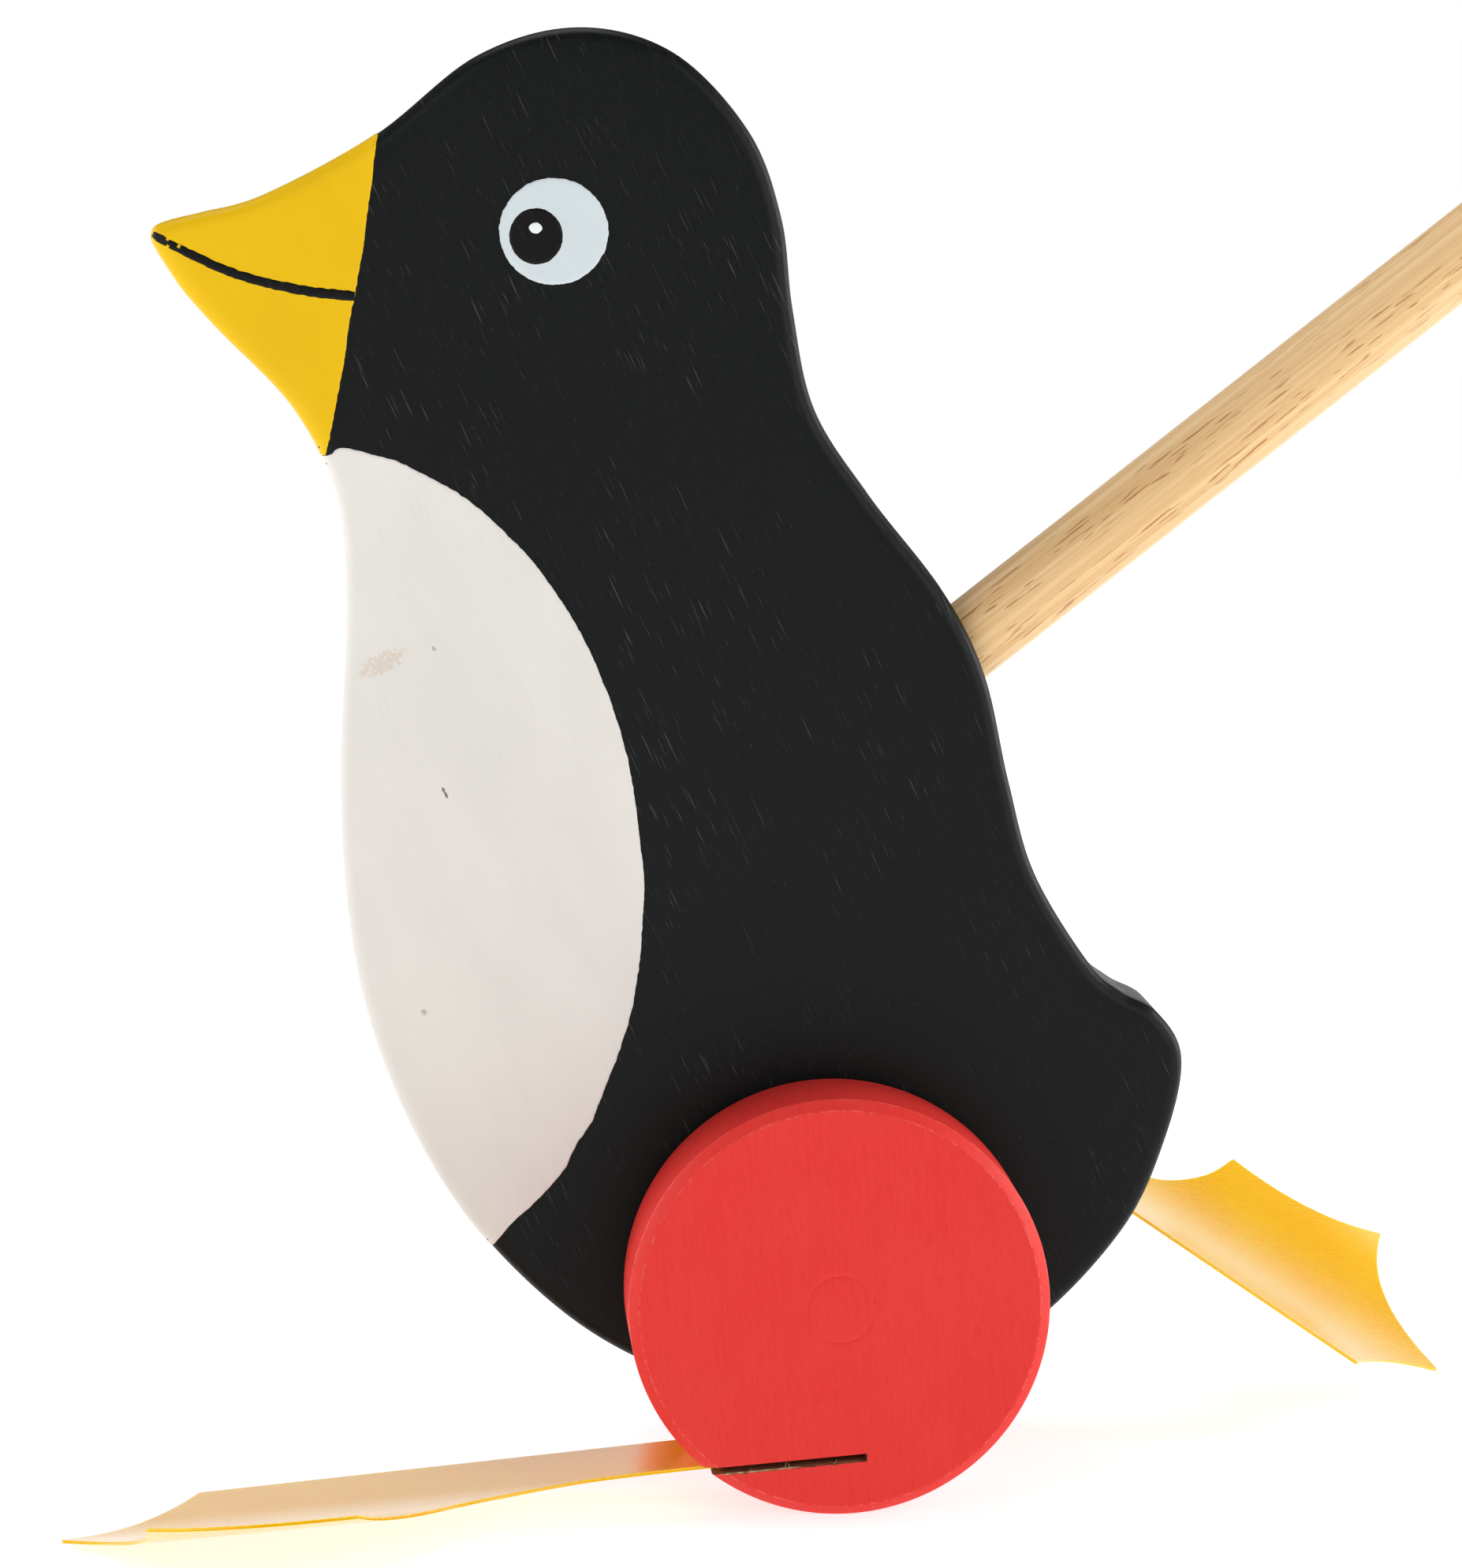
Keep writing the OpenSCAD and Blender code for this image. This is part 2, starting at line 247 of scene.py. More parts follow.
def fill(border, inner):
    """Triangles over the inside of a closed border. The border's points come first, in order."""
    points = [Vector(p) for p in np.vstack([border, inner])]
    loop = list(range(len(border)))
    made, _, faces, sources, _, _ = delaunay_2d_cdt(points, [], [loop], 1, 1e-5)
    place = {old: new for new, olds in enumerate(sources) for old in olds}
    order = [place[i] for i in loop]
    order += sorted(set(range(len(made))) - set(order))
    back = {old: new for new, old in enumerate(order)}
    return np.array([made[i] for i in order]), [[back[i] for i in f] for f in faces]


def ragged(points, size, seed):
    """A smooth random number for each point, from about -1 to 1, that changes over size mm."""
    return np.array([noise.noise(Vector((p[0] / size, p[1] / size, seed))) for p in points]) * 2


# ---- meshes ----

def new_piece(name, points, faces, *materials, sharp=40):
    """A mesh piece of the given points in mm, smooth but for edges sharper than that angle."""
    mesh = bpy.data.meshes.new(name)
    mesh.from_pydata((np.asarray(points) * MM).tolist(), [], faces)
    work = bmesh.new()
    work.from_mesh(mesh)
    bmesh.ops.recalc_face_normals(work, faces=work.faces)
    work.to_mesh(mesh)
    work.free()
    piece = bpy.data.objects.new(name, mesh)
    bpy.context.scene.collection.objects.link(piece)
    for material in materials:
        mesh.materials.append(material)
    smooth(piece, sharp)
    return piece


def smooth(piece, sharp=40):
    piece.data.shade_smooth()
    piece.data.set_sharp_from_angle(angle=math.radians(sharp))


def cut(piece, *cutters):
    """Cuts closed shapes out of a piece and removes them."""
    for cutter in cutters:
        tool = piece.modifiers.new("cut", "BOOLEAN")
        tool.operation = "DIFFERENCE"
        tool.solver = "EXACT"
        tool.object = cutter
    graph = bpy.context.evaluated_depsgraph_get()
    made = bpy.data.meshes.new_from_object(piece.evaluated_get(graph), depsgraph=graph)
    piece.modifiers.clear()
    made.name = piece.name
    piece.data = made
    for cutter in cutters:
        bpy.data.objects.remove(cutter)
    smooth(piece)


def note_grain(piece, values, name="grain"):
    """Keeps for each vertex its place in the material's own grain, in mm."""
    values = np.asarray(values, np.float32)
    kind = "FLOAT_VECTOR" if values.ndim == 2 else "FLOAT"
    kept = piece.data.attributes.new(name, kind, "POINT")
    kept.data.foreach_set("vector" if values.ndim == 2 else "value", values.ravel())


def settle(piece, grain, body, node=None):
    """Gives a piece its grain and its body, and hides the CAD node that it stands for."""
    note_grain(piece, grain)
    if node:
        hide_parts(node)
    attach(piece, body)


def closed_shell(top, bottom, faces):
    """The closed mesh between two sheets with the same faces."""
    n = len(top)
    border = set()
    for f in faces:
        for a, b in zip(f, f[1:] + f[:1]):
            if (b, a) in border:
                border.remove((b, a))
            else:
                border.add((a, b))
    out = faces + [[i + n for i in reversed(f)] for f in faces]
    out += [[b, a, a + n, b + n] for a, b in sorted(border)]
    return np.vstack([top, bottom]), out


def turned(profile, steps):
    """A solid of revolution from [radius, height] points. It starts and ends on the axis."""
    profile = np.array(profile, float)
    angles = np.arange(steps) * 2 * math.pi / steps
    rings = profile[1:-1]
    points = [[0, 0, profile[0][1]], [0, 0, profile[-1][1]]]
    points += [[r * math.cos(a), r * math.sin(a), h] for r, h in rings for a in angles]
    faces = []
    for i in range(steps):
        j = (i + 1) % steps
        last = 2 + (len(rings) - 1) * steps
        faces += [[0, 2 + i, 2 + j], [1, last + j, last + i]]
        for k in range(len(rings) - 1):
            at = 2 + k * steps
            faces.append([at + j, at + i, at + steps + i, at + steps + j])
    return np.array(points), faces


def rounded(corner_r, before, corner, after, steps=5):
    """The points of a small round that takes a profile's corner off."""
    corner = np.array(corner, float)
    a = corner + unit(np.array(before) - corner) * corner_r
    b = corner + unit(np.array(after) - corner) * corner_r
    t = np.linspace(0, 1, steps)[:, None]
    return ((1 - t) ** 2 * a + 2 * t * (1 - t) * corner + t ** 2 * b).tolist()


def grid_faces(rows, columns, start=0, closed=False):
    """Four-sided faces over rows of points."""
    faces = []
    for i in range(rows - 1):
        for j in range(columns if closed else columns - 1):
            k = (j + 1) % columns
            at = start + i * columns
            faces.append([at + j, at + k, at + columns + k, at + columns + j])
    return faces


def strand(points, radii, sides=8):
    """A tube through the points, closed at both ends, as thick at each as its radius says."""
    points = np.asarray(points, float)
    along = unit(np.gradient(points, axis=0))
    across = unit(np.cross(along, [0.31, 0.82, 0.48]))
    other = np.cross(along, across)
    turn = np.arange(sides) * 2 * math.pi / sides
    ring = (across[:, None] * np.cos(turn)[:, None] + other[:, None] * np.sin(turn)[:, None])
    made = (points[:, None] + ring * np.asarray(radii)[:, None, None]).reshape(-1, 3)
    faces = grid_faces(len(points), sides, closed=True)
    last = (len(points) - 1) * sides
    faces += [list(range(sides)), [last + k for k in reversed(range(sides))]]
    return made, faces


# ---- materials ----

class Nodes:
    """A node tree, and short ways to add to it."""

    def __init__(self, tree):
        self.tree = tree

    def plug(self, socket, value):
        """Links another node's output to a socket, or sets the socket to a constant."""
        if isinstance(value, bpy.types.NodeSocket):
            self.tree.links.new(value, socket)
        else:
            socket.default_value = value

    def node(self, kind, inputs=(), **settings):
        made = self.tree.nodes.new(kind)
        for key, value in settings.items():
            setattr(made, key, value)
        for socket, value in dict(inputs).items():
            self.plug(made.inputs[socket], value)
        return made

    def vector(self, operation, a, b=(0, 0, 0), output="Vector"):
        return self.node("ShaderNodeVectorMath", {0: a, 1: b}, operation=operation).outputs[output]

    def maths(self, operation, a, b=0.0):
        return self.node("ShaderNodeMath", {0: a, 1: b}, operation=operation).outputs["Value"]

    def fade(self, value, start, end, low=0.0, high=1.0):
        """The value brought from start..end to low..high, and held there beyond."""
        return self.node("ShaderNodeMapRange", {
            "Value": value, "From Min": start, "From Max": end, "To Min": low, "To Max": high},
            interpolation_type="SMOOTHSTEP").outputs["Result"]


class Finish(Nodes):
    """One Principled material whose patterns are laid out in the pieces' own grain."""

    def __init__(self, name, **fixed):
        self.material = bpy.data.materials.new(name)
        self.material.use_nodes = True
        super().__init__(self.material.node_tree)
        self.surface = self.tree.nodes["Principled BSDF"]
        self.set(**fixed)
        self.relief_so_far = None

    def set(self, **values):
        """Sets or links the surface's sockets, named with _ for each space."""
        for socket, value in values.items():
            self.plug(self.surface.inputs[socket.replace("_", " ")], value)

    def grain(self, along, across, deep, tilt=0.0):
        """The grain's coordinates, times so many features to a millimetre each way."""
        kept = self.node("ShaderNodeAttribute", attribute_name="grain")
        tilted = self.node("ShaderNodeMapping", {
            "Vector": kept.outputs["Vector"], "Rotation": (0, 0, math.radians(tilt))})
        return self.node("ShaderNodeMapping", {
            "Vector": tilted.outputs["Vector"], "Scale": (along, across, deep)}).outputs["Vector"]

    def noise(self, scales, detail=2.0, roughness=0.5, distortion=0.0):
        return self.node("ShaderNodeTexNoise", {
            "Vector": self.grain(*scales), "Scale": 1.0, "Detail": detail, "Roughness": roughness,
            "Distortion": distortion}).outputs["Fac"]

    def waves(self, scale, tilt):
        """Slightly uneven ribs across a direction that is tilted from the grain."""
        return self.node("ShaderNodeTexWave", {
            "Vector": self.grain(scale, scale, 0, tilt), "Scale": 1.0, "Distortion": 0.5,
            "Detail": 2.0}, wave_type="BANDS", bands_direction="X", wave_profile="SIN").outputs["Fac"]

    def blend(self, share, a, b):
        """Colour a, going to colour b as the share goes to 1."""
        def four(c):
            return c if isinstance(c, bpy.types.NodeSocket) else (*c, 1)

        made = self.node("ShaderNodeMix", data_type="RGBA")
        sockets = {s.identifier: s for s in made.inputs}
        for key, value in (("Factor_Float", share), ("A_Color", four(a)), ("B_Color", four(b))):
            self.plug(sockets[key], value)
        return next(s for s in made.outputs if s.identifier == "Result_Color")

    def relief(self, height, depth_mm):
        """Adds relief of that depth where the height goes from 0 to 1."""
        inputs = {"Height": height, "Strength": 1.0, "Distance": depth_mm * MM}
        if self.relief_so_far:
            inputs["Normal"] = self.relief_so_far
        self.relief_so_far = self.node("ShaderNodeBump", inputs).outputs["Normal"]
        self.set(Normal=self.relief_so_far)


def stained(f, shaded, place, half_size, colour, strength):
    """The colour with a broken mark at a place on the left face, its half size along and across."""
    centre = board_grain(np.array([[place[0], -HALF_T, place[1] + AXLE_Z]]))[0]
    reach = f.vector("SUBTRACT", f.grain(1, 1, 1), tuple(centre))
    reach = f.vector("MULTIPLY", reach, (1 / half_size[0], 1 / half_size[1], 0.5))
    away = f.vector("LENGTH", reach, output="Value")
    broken = f.noise((1.2, 1.6, 1.0), 3.0, 0.65)
    near = f.maths("SUBTRACT", f.fade(broken, 0.35, 0.55, 0.4, 1.4), away)
    return f.blend(f.fade(near, 0.0, 0.35, 0.0, strength), shaded, colour)


def painted(name, base, grain_and_sheen_colour, low_rough, high_rough, amount, stains=()):
    """Brushed satin paint over fine-grained wood: pores run along the grain as thin streaks; where they are
    lighter than the paint, as on the black, they are painted highlights on the grain's relief as well.
    """
    f = Finish(name, Specular_IOR_Level=0.15)
    pores = f.fade(f.noise((0.13, 3.4, 0.4), 2.5, 0.55), 0.62, 0.74)
    flecks = f.fade(f.noise((0.7, 4.5, 1.0), 2.0, 0.6), 0.66, 0.78)
    patches = f.fade(f.noise((0.05, 0.09, 0.05), 1.0), 0.38, 0.62)
    marks = f.maths("MAXIMUM", f.maths("MULTIPLY", pores, patches),
                    f.maths("MULTIPLY", flecks, 0.6))
    grain_and_sheen_share = f.maths("MULTIPLY", marks, amount)
    cloud = f.noise((0.02, 0.05, 0.03), 3.0, 0.6)
    shaded = f.blend(f.fade(cloud, 0.3, 0.7), base, [c * 0.93 for c in base])
    # streaks along the grain; lighter ones, as on the black, are also painted highlights on the grain's relief
    shaded = f.blend(grain_and_sheen_share, shaded, grain_and_sheen_colour)
    for stain in stains:
        shaded = stained(f, shaded, *stain)
    f.set(Base_Color=shaded)
    fine = f.noise((0.5, 3.0, 1.0), 3.0, 0.6)
    f.set(Roughness=f.fade(fine, 0.25, 0.75, low_rough, high_rough))
    f.relief(pores, 0.012)
    f.relief(fine, 0.014)
    return f.material


def red_paint():
    """Thin satin red over a wheel, with a broken lighter line along its edges: a painted highlight of the edges as
    well as worn paint.
    """
    f = Finish("red_paint", Specular_IOR_Level=0.2)
    grain = f.noise((2.2, 0.09, 0.6), 3.0, 0.6)
    cloud = f.noise((0.08, 0.06, 0.08), 3.0, 0.55)
    base = f.blend(f.fade(grain, 0.3, 0.75), (0.77, 0.037, 0.030), (0.735, 0.032, 0.026))
    base = f.blend(f.fade(cloud, 0.35, 0.7, 0.0, 0.5), base, (0.76, 0.048, 0.039))
    mottle = f.noise((1.8, 0.5, 1.2), 3.0, 0.6)
    base = f.blend(f.fade(mottle, 0.45, 0.75, 0.0, 0.45), base, (0.66, 0.025, 0.021))
    # a lighter line along the chamfer's edges, broken in patches: painted highlight as well as worn paint
    broken_up = f.fade(f.noise((0.9, 0.9, 0.9), 3.0, 0.65), 0.46, 0.6)
    edge = f.node("ShaderNodeAttribute", attribute_name="edge").outputs["Fac"]
    edge_highlight_and_wear = f.maths("MULTIPLY", f.fade(edge, 0.45, 0.9), broken_up)
    f.set(Base_Color=f.blend(f.maths("MULTIPLY", edge_highlight_and_wear, 0.4), base, (0.86, 0.22, 0.16)))
    fine = f.noise((3.0, 1.2, 3.0), 3.0, 0.6)
    f.set(Roughness=f.fade(fine, 0.25, 0.75, 0.42, 0.58))
    f.relief(grain, 0.008)
    f.relief(fine, 0.02)
    return f.material


def rough_matter(name, scales, dark, light, low_rough, high_rough, depth, **fixed):
    """Saw marks or dried glue: one pattern gives the colour, the roughness and the relief."""
    f = Finish(name, **fixed)
    lumps = f.noise(scales, 3.0, 0.6)
    f.set(Base_Color=f.blend(f.fade(lumps, 0.3, 0.7), dark, light))
    f.set(Roughness=f.fade(lumps, 0.3, 0.7, low_rough, high_rough))
    f.relief(lumps, depth)
    return f.material


def varnished_wood(name, light, dark, pore):
    """Open-pored hardwood under clear satin varnish."""
    f = Finish(name, Coat_Weight=0.2, Coat_Roughness=0.3, Specular_IOR_Level=0.2)
    bands = f.noise((0.008, 0.75, 0.75), 3.0, 0.6, 0.6)
    base = f.blend(f.fade(bands, 0.3, 0.7), light, dark)
    fibres = f.noise((0.05, 4.0, 4.0), 3.0, 0.6)
    base = f.blend(f.fade(fibres, 0.35, 0.75, 0.0, 0.2), base, [c * 0.8 for c in dark])
    dashes = f.fade(f.noise((0.17, 2.3, 2.3), 1.5, 0.4), 0.60, 0.66)
    belts = f.fade(f.noise((0.012, 0.28, 0.28), 1.0), 0.40, 0.56)
    pores = f.maths("MULTIPLY", dashes, belts)
    f.set(Base_Color=f.blend(f.maths("MULTIPLY", pores, 0.8), base, pore))
    f.set(Roughness=f.fade(fibres, 0.3, 0.7, 0.42, 0.55))
    f.relief(f.maths("SUBTRACT", 1.0, pores), 0.02)
    f.relief(fibres, 0.01)
    return f.material


def coated_weave():
    """Vinyl-coated cloth cut on the bias: the threads show through as fine slanting ribs."""
    f = Finish("coated_weave", IOR=1.5, Specular_Tint=(1, 0.6, 0.05, 1), Subsurface_Weight=0.5,
               Subsurface_Radius=(1, 0.5, 0.05), Subsurface_Scale=2 * MM, Coat_Weight=1.0,
               Coat_Roughness=0.18, Coat_IOR=1.45)
    ribs = f.waves(0.3, tilt=-38)
    threads = f.waves(0.42, tilt=52)
    cloud = f.noise((0.05, 0.05, 0.0), 2.0)
    base = f.blend(f.fade(cloud, 0.3, 0.7), (0.93, 0.52, 0.002), (0.90, 0.48, 0.002))
    f.set(Base_Color=f.blend(f.fade(ribs, 0.0, 0.5, 0.1, 0.0), base, (0.80, 0.36, 0.002)))
    f.set(Roughness=f.fade(threads, 0.0, 1.0, 0.26, 0.32))
    f.relief(ribs, 0.014)
    f.relief(threads, 0.006)
    return f.material


# ---- the board and its coats of paint ----

EASE_STEPS = 7
WALL_STEPS = 4
# The wood's grain runs down the board at this slope.
GRAIN_SLOPE = math.radians(65)
GRAIN_ALONG = np.array([math.cos(GRAIN_SLOPE), -math.sin(GRAIN_SLOPE)])

outline = smooth_curve(OUTLINE, 12, closed=True)


def depth_in_board(points):
    """How deep each point lies inside the board's outline, and the way from it to the outline."""
    foot, side = nearest(points, outline, closed=True)
    away = foot - points
    depth = np.linalg.norm(away, axis=1)
    within = inside(points, outline)
    on_line = (depth < 1e-4)[:, None]
    away = np.where(on_line, side, unit(away) * np.where(within, 1, -1)[:, None])
    return np.where(within | on_line[:, 0], depth, -depth), away


def on_board(points, side, lift=0.0):
    """Flat [x, z] points as points of a face, rounded over near the outline and lifted off it."""
    depth, away = depth_in_board(points)
    turn = np.arccos(np.clip(1 - np.maximum(depth, 0) / EDGE_EASE, 0, 1))
    lift = np.broadcast_to(lift, depth.shape)
    flat = points + away * (lift * np.cos(turn))[:, None]
    y = HALF_T - EDGE_EASE + (EDGE_EASE + lift) * np.sin(turn)
    return np.column_stack([flat[:, 0], side * y, flat[:, 1] + AXLE_Z])


def board_grain(points):
    """Points of the board as places along the grain, across it and through the board."""
    flat = points[:, [0, 2]]
    return np.column_stack([flat @ GRAIN_ALONG, flat @ left_of(GRAIN_ALONG), points[:, 1]])


def board_rings():
    """Points along the rounded edge, ring inside ring."""
    along = np.roll(outline, -1, axis=0) - np.roll(outline, 1, axis=0)
    out = []
    for turn in np.linspace(0, math.pi / 2, EASE_STEPS + 1)[1:]:
        reach = EDGE_EASE * (1 - math.cos(turn))
        ring = outline - reach * left_of(unit(along))
        depth = depth_in_board(ring)[0]
        out.append(ring[depth > 0.97 * reach])
    return np.vstack(out)


def board_middle(spacing=3.0):
    """Points in a regular pattern over the flat of the board."""
    low, high = outline.min(0), outline.max(0)
    out = []
    for k, z in enumerate(np.arange(low[1], high[1], spacing * math.sqrt(3) / 2)):
        row = np.arange(low[0] + (k % 2) * spacing / 2, high[0], spacing)
        out.append(np.column_stack([row, np.full(len(row), z)]))
    out = np.vstack(out)
    return out[depth_in_board(out)[0] > EDGE_EASE + 0.9]


board_points = np.vstack([board_rings(), board_middle()])


def wall_points(line, lift=0.0):
    """Points on the board's edge along a piece of the outline, between its two faces."""
    side = nearest(line, outline, closed=True)[1]
    flat = line + side * np.broadcast_to(lift, len(line))[:, None]
    levels = np.linspace(-1, 1, WALL_STEPS + 1)[1:-1] * (HALF_T - EDGE_EASE)
    return np.vstack([np.column_stack([flat[:, 0], np.full(len(flat), y), flat[:, 1] + AXLE_Z])
                      for y in levels])


def wrap(flat, faces, line_at, lift, closed):
    """A sheet over both faces of the board and over the edge between them.

    flat and faces are one face's mesh, and line_at says which of its points run along the outline."""
    n, m = len(flat), len(line_at)
    wall = wall_points(flat[line_at], np.broadcast_to(lift, n)[line_at])
    points = np.vstack([on_board(flat, -1, lift), on_board(flat, 1, lift), wall])
    out = faces + [[i + n for i in reversed(f)] for f in faces]
    rows = [line_at] + [[2 * n + k * m + i for i in range(m)] for k in range(WALL_STEPS - 1)]
    rows.append([i + n for i in line_at])
    for a, b in zip(rows, rows[1:]):
        for i in range(m if closed else m - 1):
            j = (i + 1) % m
            out.append([a[i], a[j], b[j], b[i]])
    return points, out


def cylinder(radius, start, axis, length):
    """A plain cutter."""
    points, faces = turned([[0, 0], [radius, 0], [radius, length], [0, length]], 72)
    return new_piece("cylinder", along_axis(points, start, axis), faces)


def along_axis(points, start, axis):
    """Points made round Z, placed with their foot at start and their Z along the axis."""
    axis = unit(np.array(axis, float))
    across = unit(np.cross([0, 1, 0] if abs(axis[1]) < 0.9 else [1, 0, 0], axis))
    frame_rows = np.array([across, np.cross(axis, across), axis])
    return points @ frame_rows + start


def body_skin():
    flat, faces = fill(outline, board_points)
    line_at = list(range(len(outline)))
    points, faces = wrap(flat, faces, line_at, 0.0, closed=True)
    skin = new_piece("body_skin", points, faces, black_paint)
    bore = cylinder(AXLE_R + GLUE_GAP, [0, -2 * HALF_T, AXLE_Z], [0, 1, 0], 4 * HALF_T)
    socket = cylinder(ROD_R + GLUE_GAP, ROD_FOOT, ROD_AXIS, PAST_BACK)
    cut(skin, bore, socket)
    settle(skin, board_grain(points_of(skin)), "bird", "body_board")


def last_inside(place, count, reach):
    """For each of some lines, the length up to a reach at which it leaves the board's outline.

    place gives the lines' flat points for their lengths."""
    low, high = np.zeros(count), np.full(count, float(reach))
    for _ in range(40):
        middle = (low + high) / 2
        within = inside(place(middle), outline)
        low, high = np.where(within, middle, low), np.where(within, high, middle)
    return low


def cross_outline(edge):
    """The part of an edge that lies on the board, with the points where it crosses the outline."""
    on = np.flatnonzero(inside(edge, outline))
    start, end = on[0], on[-1]
    within, beyond = edge[[start, end]], edge[[start - 1, end + 1]]

    def at(share):
        return within + share[:, None] * (beyond - within)

    first, last = nearest(at(last_inside(at, 2, 1)), outline, closed=True)[0]
    return np.vstack([first, edge[start:end + 1], last])


def outline_between(start, end, through):
    """The outline's points from start to end, on the way round that passes a point.

    Near both ends they are close together."""
    def index(p):
        return int(np.argmin(np.linalg.norm(outline - p, axis=1)))

    n = len(outline)
    a, b, c = index(start), index(end), index(np.array(through))
    step = 1 if (c - a) % n < (b - a) % n else -1
    between = [outline[(a + step * k) % n] for k in range(1, (step * (b - a)) % n)]
    line = np.vstack([start, between, end])
    at = lengths_along(line)
    near = [0.12, 0.3, 0.6, 1.0]
    keep = at[(at > 1.3) & (at < at[-1] - 1.3)]
    return spaced(line, np.concatenate([[0], near, keep, at[-1] - np.array(near)[::-1], [at[-1]]]))


def finely(edge):
    """The edge with its points close together, and closest where it runs over the rounded rim."""
    fine_step, past_rim = 0.12, 0.3
    length = lengths_along(edge)[-1]
    places = np.arange(0, length, fine_step)
    depth = depth_in_board(spaced(edge, places))[0]
    keep = (depth < EDGE_EASE + past_rim) | (np.arange(len(places)) % 4 == 0)
    return spaced(edge, np.append(places[keep], length))


# A coat's thickness, its thickness right at its edge, how far from the edge it gets to its
# full thickness, and how deep its underside lies in the board.
COAT = 0.13
EDGE_LIFT = 0.02
EDGE_SWELL = 0.28
COAT_SUNK = 0.04


def coat(name, node, paint, edge, through, seed, rim, wave):
    """A coat of paint over the part of both faces that an edge cuts off, brushed up to it by hand.

    The coat lies on the side of the edge where the outline passes the through point. Its edge
    wanders by wave mm, and stands proud by rim mm where the paint gathered."""
    edge = finely(smooth_curve(edge, 12))
    side = nearest(edge, edge, closed=False)[1]
    edge = edge + side * (wave * ragged(edge, 7, seed) + 0.07 * ragged(edge, 0.9, seed + 5))[:, None]
    edge = cross_outline(edge)
    line = outline_between(edge[-1], edge[0], through)
    border = np.vstack([edge, line[1:-1]])
    inner = [board_points[(nearest_gap(board_points, edge) > 1.2) & inside(board_points, border)]]
    side = nearest(edge, edge, closed=False)[1]
    for reach in (0.12, -0.12, EDGE_SWELL, -EDGE_SWELL, 0.5, -0.5, 0.85, -0.85):
        beside = edge + reach * side
        beside = beside[inside(beside, border) & (nearest_gap(beside, edge) > 0.9 * abs(reach))]
        inner.append(beside[depth_in_board(beside)[0] > 0.04])
    flat, faces = fill(border, np.vstack(inner))
    gap = nearest_gap(flat, edge)
    rise = np.clip(gap / EDGE_SWELL, 0, 1)
    gathered = rim * np.exp(-((gap - 0.4) / 0.3) ** 2) * (0.7 + 0.3 * ragged(flat, 2.5, seed + 9))
    lift = EDGE_LIFT + (COAT - EDGE_LIFT) * rise * (2 - rise) + gathered
    line_at = [len(edge) - 1] + list(range(len(edge), len(border))) + [0]
    top, all_faces = wrap(flat, faces, line_at, lift, closed=False)
    bottom = wrap(flat, faces, line_at, -COAT_SUNK, closed=False)[0]
    points, all_faces = closed_shell(top, bottom, all_faces)
    settle(new_piece(name, points, all_faces, paint), board_grain(points), "bird", node)


# How deep the underside of the eye's and the mouth's paint lies in what is below it, and
# how far from its rim a dab gets to its full thickness.
SPOT_SUNK = 0.05
SPOT_SWELL = 0.25


def on_both_faces(flat, faces, lift, sunk):
    """The same patch of paint on both faces of the board, as closed shells."""
    points, out = [], []
    for side in (-1, 1):
        shell, shell_faces = closed_shell(
            on_board(flat, side, lift), on_board(flat, side, sunk), faces)
        out += [[i + len(points) * len(shell) for i in f] for f in shell_faces]
        points.append(shell)
    return np.vstack(points), out


def spot(name, paint, node, centre, radii, seed, below, thick, rough, corners=144):
    """A dab of paint on both faces, over what lies below it, with an uneven rim."""
    rings = 9
    turn = np.arange(corners) * 2 * math.pi / corners
    rim = np.column_stack([np.cos(turn), np.sin(turn)]) * radii
    rim = rim * (1 + rough * (ragged(rim, 0.55, seed) + 0.6 * ragged(rim, 1.6, seed)))[:, None]
    shares = 1 - (1 - np.arange(1, rings + 1) / rings) ** 2
    flat = np.vstack([[0, 0]] + [rim * s for s in shares]) + centre
    share = np.concatenate([[0], np.repeat(shares, corners)])
    swell = np.clip((1 - share) * np.mean(radii) / SPOT_SWELL, 0, 1)
    lift = below + 0.01 + thick * swell * (2 - swell)
    faces = [[0, 1 + (i + 1) % corners, 1 + i] for i in range(corners)]
    faces += grid_faces(rings, corners, start=1, closed=True)
    points, faces = on_both_faces(flat, faces, lift, below - SPOT_SUNK)
    settle(new_piece(name, points, faces, paint), board_grain(points), "bird", node)


def mouth_lines():
    """The brushed line of the mouth on both sides, thin and patchy near the tip of the beak."""
    middle = smooth_curve(MOUTH, 16)
    middle = spaced(middle, np.linspace(0, lengths_along(middle)[-1], 130))
    at = np.linspace(0, 1, len(middle))
    side = left_of(unit(np.gradient(middle, axis=0)))
    width = np.interp(at, [0, 0.03, 0.15, 0.3, 0.7, 0.97, 1], [0.8, 1.1, 1.25, 1.3, 1.4, 1.5, 1.3])
    levels = np.array([-0.5, -0.42, -0.2, 0, 0.2, 0.42, 0.5])
    swell = np.array([0, 0.8, 1, 1, 1, 0.8, 0])
    rows = []
    for k, level in enumerate(levels):
        edge_noise = 0.12 * ragged(middle, 0.8, 31 + k) if abs(level) > 0.4 else 0
        rows.append(middle + side * (level * (width + edge_noise))[:, None])
    flat = np.stack(rows, axis=1).reshape(-1, 2)
    lift = np.tile(COAT + 0.02 + 0.07 * swell, len(middle))
    faces = grid_faces(len(middle), len(levels))
    gaps = ragged(flat, 0.55, 77)
    along = np.repeat(at, len(levels))
    missing = (gaps > 0.85) & (along > 0.03) & (along < 0.14)
    faces = [f for f in faces if not any(missing[i] for i in f)]
    used = sorted({i for f in faces for i in f})
    new = {old: k for k, old in enumerate(used)}
    faces = [[new[i] for i in f] for f in faces]
    points, faces = on_both_faces(flat[used], faces, lift[used], COAT - SPOT_SUNK)
    piece = new_piece("mouth_line_paint", points, faces, face_black_paint)
    settle(piece, board_grain(points), "bird", "mouth_lines")


